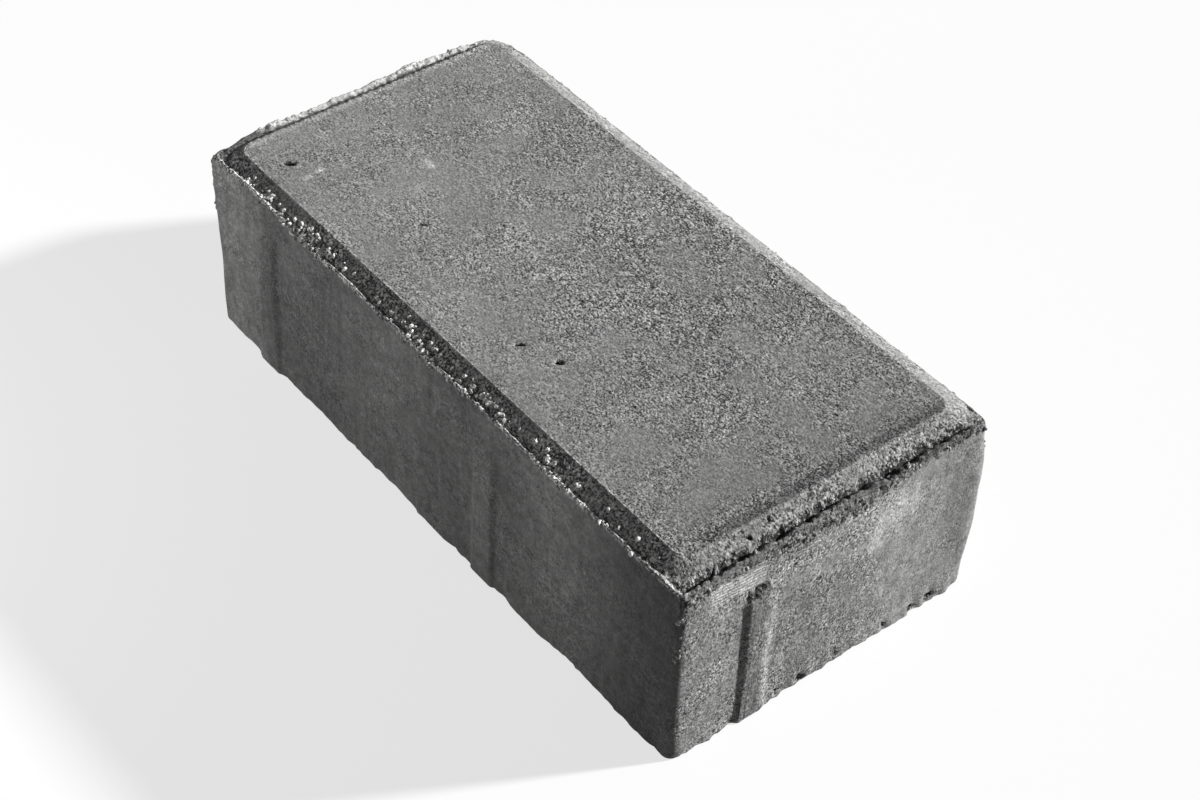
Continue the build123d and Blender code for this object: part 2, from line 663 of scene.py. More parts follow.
class UpperEdge:
    """The rings from the edge of the wearing face out to the edge of the sides."""

    def __init__(self):
        self.crest_kept = 1 + front * humps(edge_x, crest_changes)
        crest = changing("crest", top_stations) + by_side(side_looks["crest_extra"])
        crest = np.clip(crest, 0, tallest_crest) * self.crest_kept
        self.crest_height = by_side(section["crest_height"]) * crest
        self.crest_width = by_side(section["crest_width"]) * (1 + front * humps(edge_x, [crest_spread]))
        self.sound = near(outer_edge, body_high, sound_corner["reach"])
        self.groove_life = changing("groove", top_stations) * (1 - sound_corner["groove"] * self.sound)
        self.groove_place = by_side(section["groove_place"]) + changing("groove_sway", top_stations)
        self.wide_part = right * humps(edge_y, wide_grooves)
        self.groove_width = by_side(section["groove_width"]) * changing("groove_spread", top_stations)
        self.groove_width *= 1 + wide_groove_share * self.wide_part
        foot = by_side(section["foot"]) - changing("foot_sway", top_stations)
        self.bevel_length = by_side(band_widths) - foot
        self.set_lift()
        self.set_crumbling()

    def set_lift(self):
        """How much higher the edge stands at every station."""
        self.lift = back * np.interp(edge_x, *back_lift) + left * np.interp(edge_y, *left_lift)
        self.lift += front * np.interp(edge_x, *front_lift)
        lumpy = left * (rim_lumps["usual"] + humps(edge_y, [rim_lumps["most"]]))
        self.lift += lumpy * fall(np.abs(edge_y), *rim_lumps["ends"]) * changing("rim_lumps", top_stations)

    def set_crumbling(self):
        """Where bare grains crowd, and where the left end's rim is open, at every station."""
        self.crowding = humps(edge_x, grain_clusters)
        thinned = 1 - crumbling_lost * fade(edge_x, *crumbling_thins)
        self.thinning = fade(edge_x, *crumbling_begins) * thinned
        self.thinning *= np.clip(grains_between_clusters + self.crowding, 0, 1)
        self.closed_rim = left * fall(edge_y, *closed_rim_span)
        self.open_rim = (left - self.closed_rim) * (1 - open_rim_lost * fade(edge_y, *open_rim_end))
        self.left_line = changing("left_line", top_stations)
        self.far_left = back * hump(edge_x, body_low[0], far_left_reach)

    def shape(self, share):
        """Works out a ring at a share of the way outwards: its places, and how far each lies in a hole or in
        the right end's crevice, where painted shade darkens it.
        """
        flat = inner_edge + share * (outer_edge - inner_edge)
        level = on_ring(flat, 0.0)
        jag = by_side(side_looks["jag"]) * changing("jag", level)
        self.off_face = np.maximum(off_face_edge(flat) + jag, 0)
        self.off_side = np.maximum(-off_outline(flat, body_low, body_high, corner_radii), 0)
        height = stone_height - by_side(section["slope"]) * np.minimum(self.off_face, self.bevel_length)
        chipped = chipped_corner["depth"] * near(flat, far_left_corner, chipped_corner["reach"])
        height += (self.lift - chipped) * share**2
        groove = hump(self.off_side, self.groove_place, self.groove_width)
        height -= by_side(section["groove_depth"]) * np.clip(self.groove_life, *groove_deepening) * groove
        self.crest = hump(self.off_side, by_side(section["crest_place"]), self.crest_width)
        height += self.crest_height * self.crest
        shoulder = by_side(section["shoulder"])
        inside = np.clip(shoulder - self.off_side, 0, shoulder)
        height -= shoulder - np.sqrt(shoulder**2 - inside**2)
        self.notch = fade(changing("notches", level), *notch_span) * hump(self.off_face, 0.0, notch_reach)
        height -= by_side(section["notch_depth"]) * self.notch
        self.height = height
        places, hole = dig_pits(on_ring(flat, height))
        # The crevice is painted shade with a dent in the bump, beside the real groove
        crevice = hump(self.off_side, self.groove_place + crevice_inset, crevice_reach)
        crevice *= np.clip(changing("crevice", level), *crevice_gaps)
        crevice *= np.clip(self.groove_life, *crevice_strength)
        right_and_corners = np.clip(2 * right, 0, 1)
        crevice *= crevice_share * right_and_corners + crevice_wide_share * self.wide_part
        self.closed_corner = near(flat, body_low, closed_corner_reach)
        return places, np.maximum(hole, crevice)

    def tone(self, outside_face, share):
        """How pale or dark the ring is."""
        # The front bevel's paleness towards the right is painted light, for the weaker fill light there
        on_the_right = edge_tones["front bevel on the right"] * fade(edge_x, *front_bevel_pales)
        bevel_tone_and_light = by_side(side_looks["bevel_tone"]) + (edge_tones["front bevel"] + on_the_right) * front
        # The far left corner's darkening is painted shade
        tone = 1 + outside_face * (bevel_tone_and_light + edge_tones["far left corner"] * self.far_left)
        tone += back * edge_tones["back rim"] * fade(share, *back_rim_begins)
        tone += back * edge_tones["back edge"] * hump(self.off_side, 0.0, back_edge_reach)
        lip = hump(self.off_face, 0.0, front_lip_reach) * (1 - self.notch)
        tone += front * edge_tones["front lip"] * lip
        # Painted highlight on the front crest
        tone += front * edge_tones["front crest"] * self.crest_kept * self.crest
        behind = edge_tones["right groove behind"] * fade(edge_y, *right_groove_darkens)
        tone += (edge_tones["right groove"] + behind) * hump(self.off_side, *right_groove_line) * right
        # Painted highlight on the left end's open rim
        begins, ends = left_rim_begins
        rim = fade(self.off_face, self.left_line + begins, self.left_line + ends) * self.open_rim
        tone += edge_tones["left rim"] * rim
        # A dark line of painted shade along the left bevel
        line = fade(self.off_face, *left_line_begins) * left
        line *= fall(self.off_face, self.left_line - left_line_fade, self.left_line + left_line_fade)
        tone += edge_tones["left line"] * line
        # Painted shade on the closed rim near the front corner
        closed = (self.closed_rim + left * self.closed_corner) * fade(self.off_face, *closed_rim_from)
        return tone + edge_tones["closed rim"] * closed

    def lay(self):
        """Lays all the rings down. Returns the first, the last and the last one's heights."""
        rings = []
        for row in range(band_rows + 1):
            share = row / band_rows
            places, hole = self.shape(share)
            broken_from = by_side(section["broken_from"])
            broken = fall(self.off_side, broken_from * break_whole_share, broken_from)
            whole = unbroken_gaps * np.clip(1 - self.crowding, 0, 1) + unbroken_crest * self.crest
            broken *= 1 - whole * front - by_side(side_looks["unbroken"])
            broken *= 1 - sound_corner["broken"] * self.sound
            outside_face = fade(self.off_face, *outside_face_from)
            clusters = fade(changing("edge_clusters", places), *cluster_span) * (1 - self.closed_corner)
            crowd = self.thinning * front + grains_on_left_rim * self.open_rim + grains_on_right * right
            coarse = by_side(side_looks["bevel_coarse"]) + far_left_coarse * self.far_left
            ring = surface.lay(
                places,
                sand=1 - outside_face * by_side(side_looks["bevel_smooth"]),
                coarse=1 + outside_face * coarse,
                broken=broken,
                grains=broken * clusters * crowd + lone_grains * self.thinning * front * outside_face,
                bare=np.maximum(front, self.open_rim),
                hole=hole,
                tone=self.tone(outside_face, share),
            )
            rings.append(ring)
        surface.join_all(rings)
        return rings[0], rings[-1], self.height


# The marks on the sides. Spans are by height, by the distance along a side from its middle, or in shares of
# the width of a nib's flank.
foot_wave_span = (0.0, 8.0)
grime_left_half = {"span": (-25.0, -22.5), "strength": 0.28}
grime_stretch = 0.02
crown_edge = (0.0, 0.3)
crown_top_fade = 1.0
# Painted highlights along the ledge's lit line and along the flare of the nib's lit right flank
ledge_pale = 0.5
flare_pale = 0.4

# The looks of the sides
side_sand = 0.45
worn_corner_span = (25.0, 52.0)
worn_corner_strength = 0.8
worn_corner_kept_behind = 0.6
foot_break_span = (0.8, 3.0)
foot_break_strength = 0.5
side_cluster_span = (-0.2, 0.6)
side_grains = 0.35
side_grains_kept_on_right = 0.25
side_grains_from = (1.0, 2.0)
right_coarse = {"usual": 0.2, "broken": 0.7, "behind": -0.45, "streaks": -0.4}
right_smooth_span = (10.0, 24.0)
# Spots near the right end's front corner that get painted shade and a dent in the bump
corner_hole_span = (42.0, 55.0)
corner_hole_strength = 8.0
# The broken strip under the right end's shoulder is darker: darker cement, and painted shade of its rough
# pores
right_break_dark = 0.42
pale_and_highlight_strength = 1.02
streak_strength = 0.4


class SideMarks:
    """What the marks on the sides do to one ring: how far it stands out, and where its looks change."""

    def __init__(self, height, edge_height):
        self.height = np.broadcast_to(height, station_count).astype(float)
        self.spots = on_ring(outer_edge, self.height)
        self.hole = np.zeros(station_count)
        self.pale = np.zeros(station_count)
        self.edge_height = edge_height
        far_away = 1000.0
        self.along = np.nan_to_num(along_side, nan=far_away)
        self.on_right = self.on("right")
        self.lean_and_sway()
        self.lumps()
        self.dents()
        self.streaks()
        self.nib_grime()
        self.ledge_and_flare()
        self.patches()

    def on(self, side):
        """1 at the stations of a side, and less on its corners."""
        return hard_shares[:, side_names.index(side)]

    def lean_and_sway(self):
        """The sides lean out towards the bed face, wave at their foot and carry the nibs."""
        down = np.clip((self.edge_height - self.height) / self.edge_height, 0, 1)
        wave = fall(self.height, *foot_wave_span) * changing("foot_waves", foot_stations)
        self.rise = by_side(section["lean"]) * down + wave
        for corner, reach, rise, span in bulges:
            self.rise += rise * near(outer_edge, corner, reach) * fade(self.height, *span)
        self.rise += nib_rise(self.height)

    def lumps(self):
        """Cement that leaked at the foot."""
        for side, middle, level, half_length, half_height, rise in lumps:
            far = off_oval(self.along - middle, self.height - level, half_length, half_height)
            self.rise += rise * fall(far, *lump_edge) * self.on(side)

    def dents(self):
        """Hollows that loose grains left."""
        ragged = changing("dent_edges", self.spots)
        for side, middle, level, half_length, half_height, depth, turn in dents:
            far = off_oval(self.along - middle, self.height - level, half_length, half_height, turn)
            sink = fall(far * ragged, *dent_edge) * self.on(side)
            self.rise -= depth * sink
            self.hole = np.maximum(self.hole, sink)

    def streaks(self):
        """The streaks beside the right end's nib."""
        level = self.height + streaks["incline"] * (self.along - streaks["from"])
        area = fade(self.along, streaks["from"], streaks["from"] + streak_fades["from"])
        area *= fall(self.along, streaks["to"] - streak_fades["to"], streaks["to"])
        area *= fade(level, streaks["low"], streaks["low"] + streak_fades["level"])
        area *= fall(level, streaks["high"] - streak_fades["level"], streaks["high"])
        self.lines = area * self.on_right

    def nib_grime(self):
        """The right end's nib is dark on its crown."""
        crown = fall(off_nib(side_names.index("right"), short_side_nibs[0], self.height), *crown_edge)
        crown = np.nan_to_num(crown) * fall(self.height, nib_height - crown_top_fade, nib_height)
        grime = changing("nib_grime", on_ring(outer_edge, grime_stretch * self.height))
        grime += grime_left_half["strength"] * fall(self.along, *grime_left_half["span"])
        self.crown = crown * grime * self.on_right

    def ledge_and_flare(self):
        """The ledge under the right end's shoulder, and the nib's foot that flares up to it, each with a pale
        line of painted highlight where it is lit.
        """
        span = fade(self.along, *ledge_begins) * fall(self.along, *ledge_ends) * self.on_right
        past = self.height - ledge["height"]
        self.rise += ledge["rise"] * fade(past, 0.0, ledge["thickness"]) * span
        self.pale += ledge_pale * hump(past, ledge["lit_line"], ledge["lit_line"]) * span
        foot = np.interp(self.height, flare_heights, flare_places) - flare_edge["inset"]
        flare = hump(self.along, foot, flare_edge["width"]) * self.on_right
        under_ledge = fall(self.height, ledge["height"] - flare_edge["top_fade"], ledge["height"])
        self.pale += flare_pale * flare * under_ledge

    def patches(self):
        """Pale cement on the right end."""
        cloud = np.clip(changing("end_clouds", self.spots), 0, 1) * self.on_right
        for middle, level, half_length, half_height, whole_share, strength in end_patches:
            far = off_oval(self.along - middle, self.height - level, half_length, half_height)
            self.pale += strength * fall(far, whole_share, 1.0) * cloud

    def places(self):
        return on_ring(outer_edge + outward * self.rise[:, None], self.height)

    def breaks(self):
        """How broken the ring is under the upper edge, and all told with its corners and its foot."""
        reach = by_side(section["broken_down"])
        reach = reach + (np.interp(edge_y, *strip_reach) - reach) * self.on_right
        ragged = changing("break_edges", self.spots)
        under_edge = fall((self.edge_height - self.height) * ragged, reach * break_whole_share, reach)
        most = np.max(hard_shares, axis=1)
        corner = 4 * most * (1 - most) * fade(self.height, *worn_corner_span)
        corner *= worn_corner_strength - worn_corner_kept_behind * 4 * right * back
        foot = fall(self.height * ragged, *foot_break_span) * foot_break_strength
        return under_edge, np.maximum.reduce([under_edge, corner, foot])

    def zones(self):
        """The zones of the ring."""
        under_edge, broken = self.breaks()
        clusters = fade(changing("side_clusters", self.spots), *side_cluster_span)
        grained = side_grains - side_grains_kept_on_right * self.on_right
        coarser = right_coarse["usual"] + right_coarse["broken"] * under_edge
        coarser += right_coarse["streaks"] * self.lines
        coarser += right_coarse["behind"] * fade(self.along, *right_smooth_span)
        near_corner = corner_hole_strength * front * right**2 * fade(self.height, *corner_hole_span)
        corner_holes = near_corner * np.clip(changing("corner_holes", self.spots), 0, 1)
        # Along the front the stain is partly painted shade, darkest towards the right end
        stain_and_shade = 1 + (np.interp(edge_x, *front_stain_and_shade) - 1) * front
        stain_and_shade += (np.interp(edge_y, *right_stain) - 1) * right
        # Partly painted shade on the right end's broken strip
        dark = 1 - right_break_dark * under_edge * self.on_right - self.crown
        # The pale patches are the cement's own; the pale lines along the ledge and the flare are painted
        # highlights
        pale = 1 + (pale_and_highlight_strength * self.pale + streak_strength * self.lines) * (1 - under_edge)
        return {
            "sand": np.full(station_count, side_sand),
            "coarse": by_side(side_looks["side_coarse"]) + coarser * self.on_right,
            "side": 1 - broken,
            "broken": broken,
            "grains": broken * clusters * grained * fade(self.height, *side_grains_from),
            "hole": np.maximum(self.hole, corner_holes),
            "lines": self.lines,
            "tone": stain_and_shade * dark * pale,
        }


# The edge of the bed face is ragged, and less grained than the sides
bed_edge_range = (0.25, 1.9)
bed_edge_broken = 0.3
bed_sand = 0.5
bed_strip_height = 3 * bed_edge_radius


def lay_sides(top_ring, edge_height):
    """The rings from the upper edge down to the bed face. Returns the last one."""
    rings = [top_ring]
    for row in range(1, strip_rows + 1):
        marks = SideMarks(edge_height + (strip_depth - edge_height) * row / strip_rows, edge_height)
        rings.append(surface.lay(marks.places(), **marks.zones()))
    radius = bed_edge_radius * np.clip(changing("bed_edge", foot_stations), *bed_edge_range)
    heights = list(np.linspace(strip_depth, bed_strip_height, shaft_rows + 1)[1:])
    for row in range(1, bed_rows):
        heights.append(bed_strip_height + (radius - bed_strip_height) * row / (bed_rows - 1))
    for height in heights:
        marks = SideMarks(height, edge_height)
        zones = {name: values[::shaft_stride] for name, values in marks.zones().items()}
        rings.append(surface.lay(marks.places()[::shaft_stride], **zones))
    side_foot = marks.places()[:, :2]
    for step in range(1, bed_edge_rows + 1):
        angle = step / bed_edge_rows * math.pi / 2
        inset = radius * (1 - math.cos(angle))
        places = on_ring(side_foot - outward * inset[:, None], radius * (1 - math.sin(angle)))
        rings.append(surface.lay(places[::shaft_stride], sand=bed_sand, broken=bed_edge_broken))
    surface.join_all(rings)
    return rings[-1]


# The tone of the wearing face. It darkens over these spans of x, and most in a strip beside the right bevel.
face_usual_tone = 1.05
face_darkening = ((-60.0, 40.0, 0.12), (76.0, 86.0, 0.12))
dark_strip = {"x": (86.5, 89.5), "y": (-42.0, -28.0), "strength": 0.36}
pale_left_edge = {"inset": 1.0, "strength": 0.5}
pale_mark_range = (0.4, 1.0)

# The grain of the wearing face: coarse past the middle, beside the right bevel and at the near corner
face_usual_grain = 0.75
face_coarse_middle = {"x": (8.0, 52.0), "y": (-35.0, 15.0), "strength": 0.65}
face_coarser = ((-40.0, 70.0, 0.1), (83.0, 88.0, 0.5))
face_coarse_corner = {"x": (84.0, 8.0), "y": (-37.0, 9.0), "strength": 0.5}


def face_tone(places):
    """The wearing face is paler towards the left end, darker beside the right bevel, and has pale marks and a
    painted highlight beside a pit.
    """
    x, y = places[:, 0], places[:, 1]
    tone = face_usual_tone - sum(strength * fade(x, low, high) for low, high, strength in face_darkening)
    tone -= dark_strip["strength"] * fade(x, *dark_strip["x"]) * fade(y, *dark_strip["y"])
    inset = pale_left_edge["inset"]
    tone += pale_left_edge["strength"] * hump(x, face_low[0] + inset, inset)
    patchy = np.clip(changing("pale_marks_and_highlight", places), *pale_mark_range)
    for middle_x, middle_y, half_x, half_y, strength in pale_marks_and_highlight:
        far = off_oval(x - middle_x, y - middle_y, half_x, half_y)
        tone += strength * fall(far, *pale_mark_edge) * patchy
    return tone


def face_grain(places):
    """The grain of the wearing face is finest towards the left end and coarsest past the middle."""
    x, y = places[:, 0], places[:, 1]
    middle = hump(x, *face_coarse_middle["x"]) * fade(y, *face_coarse_middle["y"])
    corner = hump(x, *face_coarse_corner["x"]) * hump(y, *face_coarse_corner["y"])
    grain = face_usual_grain + sum(strength * fade(x, low, high) for low, high, strength in face_coarser)
    return grain + face_coarse_middle["strength"] * middle + face_coarse_corner["strength"] * corner


def lay_wearing_face(ring):
    """The grid of the wearing face, stitched to its edge."""
    x0, y0 = np.array(face_low) - (0.0, face_margin)
    x1, y1 = np.array(face_high) + (0.0, face_margin)
    columns = round((x1 - x0) / face_step)
    rows = round((y1 - y0) / face_step)
    xs = crowded(x0, x1, columns + 1, [pit[0] for pit in face_pits], pit_crowding_reach, pit_crowding[0])
    ys = crowded(y0, y1, rows + 1, [pit[1] for pit in face_pits], pit_crowding_reach, pit_crowding[1])
    grid_x, grid_y = np.meshgrid(xs, ys, indexing="ij")
    inside = off_face_edge(np.stack([grid_x, grid_y], axis=-1)) < -face_margin
    cells = inside[:-1, :-1] & inside[1:, :-1] & inside[:-1, 1:] & inside[1:, 1:]
    used = np.zeros_like(inside)
    for dx in (0, 1):
        for dy in (0, 1):
            used[dx : dx + columns, dy : dy + rows] |= cells
    whole = np.zeros_like(inside)
    whole[1:-1, 1:-1] = cells[:-1, :-1] & cells[1:, :-1] & cells[:-1, 1:] & cells[1:, 1:]
    places, hole = dig_pits(on_ring(np.column_stack([grid_x[used], grid_y[used]]), stone_height))
    numbers = np.full(inside.shape, -1)
    numbers[used] = surface.lay(places, hole=hole, tone=face_tone(places), coarse=face_grain(places))
    corner = np.nonzero(cells)
    a, b = numbers[:-1, :-1][corner], numbers[1:, :-1][corner]
    c, d = numbers[1:, 1:][corner], numbers[:-1, 1:][corner]
    surface.faces += np.column_stack([a, b, c, d]).tolist()

    def covered(point):
        column = np.searchsorted(xs, point.x) - 1
        row = np.searchsorted(ys, point.y) - 1
        return bool(cells[np.clip(column, 0, columns - 1), np.clip(row, 0, rows - 1)])

    surface.fill(ring, numbers[used & ~whole], covered, True)


def lay_bed_face(ring):
    """The bed face: a plain rim, and wide faces inside it."""
    inset = bed_edge_radius + bed_rim
    low = np.array(body_low) + inset
    high = np.array(body_high) - inset
    flat, _ = outline(low, high, corner_radii)
    rim = surface.lay(on_ring(flat[::bed_stride], 0.0), sand=bed_sand)
    surface.join(ring, rim)
    xs = np.arange(low[0] + bed_step / 2, high[0], bed_step)
    ys = np.arange(low[1] + bed_step / 2, high[1], bed_step)
    grid = np.stack(np.meshgrid(xs, ys, indexing="ij"), axis=-1).reshape(-1, 2)
    inner = surface.lay(on_ring(grid, 0.0), sand=bed_sand)
    surface.fill(rim, inner, None, False)


def stone_surface():
    """Lays down the whole closed surface and makes its mesh."""
    face_ring, side_top, edge_height = UpperEdge().lay()
    bed_ring = lay_sides(side_top, edge_height)
    lay_wearing_face(face_ring)
    lay_bed_face(bed_ring)
    mesh = bpy.data.meshes.new("paving_stone_surface")
    mesh.from_pydata((np.concatenate(surface.places) * MM).tolist(), [], surface.faces)
    # The edge of the wearing face, which is laid first, stays sharp
    sharp = mesh.attributes.new("sharp_edge", "BOOLEAN", "EDGE")
    ends = np.zeros(len(mesh.edges) * 2, dtype=int)
    mesh.edges.foreach_get("vertices", ends)
    sharp.data.foreach_set("value", (ends.reshape(-1, 2) < station_count).all(axis=1))
    for name in Surface.usual_zones:
        layer = mesh.attributes.new(name, "FLOAT", "POINT")
        layer.data.foreach_set("value", np.concatenate(surface.zones[name]))
    mesh.update()
    return mesh


def put(tree, kind, inputs=None, **options):
    """Adds a node to a tree, with its options, and fills its inputs with numbers or other nodes' outputs."""
    node = tree.nodes.new(kind)
    for name, value in options.items():
        setattr(node, name, value)
    for key, value in (inputs or {}).items():
        fill_socket(tree, node.inputs[key], value)
    return node


def fill_socket(tree, socket, value):
    """Links another node's output to a socket, or sets its number."""
    if isinstance(value, bpy.types.NodeSocket):
        tree.links.new(value, socket)
    else:
        socket.default_value = value


def reckon(tree, operation, *values, clamp=False):
    """A Math node's result."""
    node = put(tree, "ShaderNodeMath", dict(enumerate(values)), operation=operation, use_clamp=clamp)
    return node.outputs[0]


def summed(tree, *values):
    """The values added up."""
    return reduce(lambda so_far, value: reckon(tree, "ADD", so_far, value), values)


def product(tree, *values):
    """The values multiplied together."""
    return reduce(lambda so_far, value: reckon(tree, "MULTIPLY", so_far, value), values)


def vector_reckon(tree, operation, *values):
    """A Vector Math node's vector."""
    node = put(tree, "ShaderNodeVectorMath", operation=operation)
    sockets = [socket for socket in node.inputs if socket.enabled]
    for socket, value in zip(sockets, values):
        fill_socket(tree, socket, value)
    return node.outputs["Vector"]


def noise(tree, place, pattern):
    """A noise of grey values. The pattern holds its scale, and any detail and roughness of its own."""
    return put(tree, "ShaderNodeTexNoise", {"Vector": place, **pattern}).outputs[0]


def mapped(tree, value, span, results):
    """A value carried from one span to another and held there."""
    inputs = {"Value": value, "From Min": span[0], "From Max": span[1]}
    inputs.update({"To Min": results[0], "To Max": results[1]})
    return put(tree, "ShaderNodeMapRange", inputs).outputs[0]


def named_inputs(tree, sockets):
    """Gives a tree its named inputs and returns the node that they come out of."""
    for name, kind, value in sockets:
        socket = tree.interface.new_socket(name, in_out="INPUT", socket_type=kind)
        if value is not None:
            socket.default_value = value
    return tree.nodes.new("NodeGroupInput").outputs


def named_outputs(tree, sockets):
    """Gives a tree its named outputs and links the values to them."""
    for name, kind, _ in sockets:
        tree.interface.new_socket(name, in_out="OUTPUT", socket_type=kind)
    end = tree.nodes.new("NodeGroupOutput")
    for name, _, value in sockets:
        tree.links.new(value, end.inputs[name])


def apply_tree(piece, tree, values):
    """Runs a Geometry Nodes tree on a piece and keeps the result as its plain mesh."""
    modifier = piece.modifiers.new(tree.name, "NODES")
    modifier.node_group = tree
    for item in tree.interface.items_tree:
        if item.in_out == "INPUT" and item.name in values:
            modifier[item.identifier] = values[item.name]
    graph = bpy.context.evaluated_depsgraph_get()
    made = bpy.data.meshes.new_from_object(piece.evaluated_get(graph))
    piece.modifiers.remove(modifier)
    piece.data = made


def zone(tree, name):
    """A zone of the stone's surface, in Geometry Nodes."""
    node = put(tree, "GeometryNodeInputNamedAttribute", {"Name": name}, data_type="FLOAT")
    return node.outputs["Attribute"]


def kept_inside(tree, place, start):
    """A place, held between the lowest and the highest corner that the tree is given."""
    low = vector_reckon(tree, "MAXIMUM", place, start["Lowest"])
    return vector_reckon(tree, "MINIMUM", low, start["Highest"])


def finish_tree(tree, geometry, start):
    """Ends a tree: gives out its geometry in the material that it is given."""
    inputs = {"Geometry": geometry, "Material": start["Finish"]}
    finished = put(tree, "GeometryNodeSetMaterial", inputs)
    named_outputs(tree, (("Geometry", "NodeSocketGeometry", finished.outputs[0]),))
    return tree


# The relief: how detailed its noises are, and how the sand's height changes in patches
noise_middle = 0.5
sand_detail = 2.0
break_detail = 1.0
sway_detail = 1.0
sand_patch_span = (0.38, 0.62)
sand_patch_relief = (0.5, 1.5)


def relief_tree():
    """Moves the surface in and out: sand grain all over, breaks on the rims, sway on the faces."""
    tree = bpy.data.node_groups.new("concrete_relief", "GeometryNodeTree")
    start = named_inputs(
        tree,
        (
            ("Geometry", "NodeSocketGeometry", None),
            ("Sand Height", "NodeSocketFloat", 0.0),
            ("Sand Size", "NodeSocketFloat", 1.0),
            ("Break Height", "NodeSocketFloat", 0.0),
            ("Break Size", "NodeSocketFloat", 1.0),
            ("Patch Size", "NodeSocketFloat", 1.0),
            ("Sway Height", "NodeSocketFloat", 0.0),
            ("Sway Size", "NodeSocketFloat", 1.0),
            ("Lowest", "NodeSocketVector", (0.0, 0.0, 0.0)),
            ("Highest", "NodeSocketVector", (0.0, 0.0, 0.0)),
            ("Finish", "NodeSocketMaterial", None),
        ),
    )
    place = tree.nodes.new("GeometryNodeInputPosition").outputs["Position"]
    normal = tree.nodes.new("GeometryNodeInputNormal").outputs["Normal"]

    def grain(size, height, detail, share):
        pattern = {"Scale": reckon(tree, "DIVIDE", 1.0, size), "Detail": detail}
        level = reckon(tree, "SUBTRACT", noise(tree, place, pattern), noise_middle)
        return product(tree, level, height, share)

    patch = noise(tree, place, {"Scale": reckon(tree, "DIVIDE", 1.0, start["Patch Size"])})
    patches = mapped(tree, patch, sand_patch_span, sand_patch_relief)
    coarse = product(tree, zone(tree, "sand"), patches)
    sand = grain(start["Sand Size"], start["Sand Height"], sand_detail, coarse)
    breaks = grain(start["Break Size"], start["Break Height"], break_detail, zone(tree, "broken"))
    sway = grain(start["Sway Size"], start["Sway Height"], sway_detail, zone(tree, "side"))
    offset = vector_reckon(tree, "SCALE", normal, summed(tree, sand, breaks, sway))
    moved = put(tree, "GeometryNodeSetPosition", {"Geometry": start["Geometry"], "Offset": offset})
    kept = kept_inside(tree, place, start)
    held = put(tree, "GeometryNodeSetPosition", {"Geometry": moved.outputs[0], "Position": kept})
    real = put(tree, "GeometryNodeRealizeInstances", {"Geometry": held.outputs[0]})
    smooth = put(tree, "GeometryNodeSetShadeSmooth", {"Geometry": real.outputs[0]})
    return finish_tree(tree, smooth.outputs[0], start)


# The sockets of a Random Value node that take the lowest and the highest vector, and the same for numbers
vector_sockets = (0, 1)
number_sockets = (2, 3)

# The lowest and the highest turn of a bare grain, in radians, and its stretch
grain_turns = ((0.0, 0.0, 0.0), (6.28, 6.28, 6.28))
grain_stretches = ((0.6, 0.5, 0.5), (1.8, 1.2, 1.0))


def grain_tree():
    """Scatters angular grains over the broken parts of the surface."""
    tree = bpy.data.node_groups.new("exposed_grains", "GeometryNodeTree")
    start = named_inputs(
        tree,
        (
            ("Geometry", "NodeSocketGeometry", None),
            ("Density", "NodeSocketFloat", 1.0),
            ("Smallest", "NodeSocketFloat", 1.0),
            ("Largest", "NodeSocketFloat", 1.0),
            ("Seed", "NodeSocketInt", 0),
            ("Lowest", "NodeSocketVector", (0.0, 0.0, 0.0)),
            ("Highest", "NodeSocketVector", (0.0, 0.0, 0.0)),
            ("Finish", "NodeSocketMaterial", None),
        ),
    )

    def random_value(kind, sockets, span):
        inputs = {sockets[0]: span[0], sockets[1]: span[1], "Seed": start["Seed"]}
        return put(tree, "FunctionNodeRandomValue", inputs, data_type=kind)

    density = product(tree, zone(tree, "grains"), start["Density"])
    inputs = {"Mesh": start["Geometry"], "Density": density, "Seed": start["Seed"]}
    points = put(tree, "GeometryNodeDistributePointsOnFaces", inputs)
    place = tree.nodes.new("GeometryNodeInputPosition").outputs["Position"]
    inputs = {"Geometry": points.outputs["Points"], "Position": kept_inside(tree, place, start)}
    held = put(tree, "GeometryNodeSetPosition", inputs)
    grain = put(tree, "GeometryNodeMeshIcoSphere", {"Radius": 1.0, "Subdivisions": 1})
    turn = random_value("FLOAT_VECTOR", vector_sockets, grain_turns)
    size = random_value("FLOAT", number_sockets, (start["Smallest"], start["Largest"]))
    stretch = random_value("FLOAT_VECTOR", vector_sockets, grain_stretches)
    inputs = {
        "Points": held.outputs[0],
        "Instance": grain.outputs["Mesh"],
        "Rotation": turn.outputs[0],
        "Scale": vector_reckon(tree, "SCALE", stretch.outputs[0], size.outputs[1]),
    }
    placed = put(tree, "GeometryNodeInstanceOnPoints", inputs)
    real = put(tree, "GeometryNodeRealizeInstances", {"Geometry": placed.outputs[0]})
    return finish_tree(tree, real.outputs[0], start)


# The speckle of the sand: each grain has its own brightness and its own rise, along with a softer noise
speckle_noise = {"Detail": 1.5, "Roughness": 0.6}
speckle_noise_fineness = 1.25
speckle_noise_contrast = 3.6
speckle_noise_rise = 1.3
speckle_grain_power = 2.0
speckle_grain_middle = 0.333
speckle_grain_contrast = 0.95
speckle_grain_rise = 0.9
speckle_rise_power = 3.0
speckle_dome_fall = 1.8


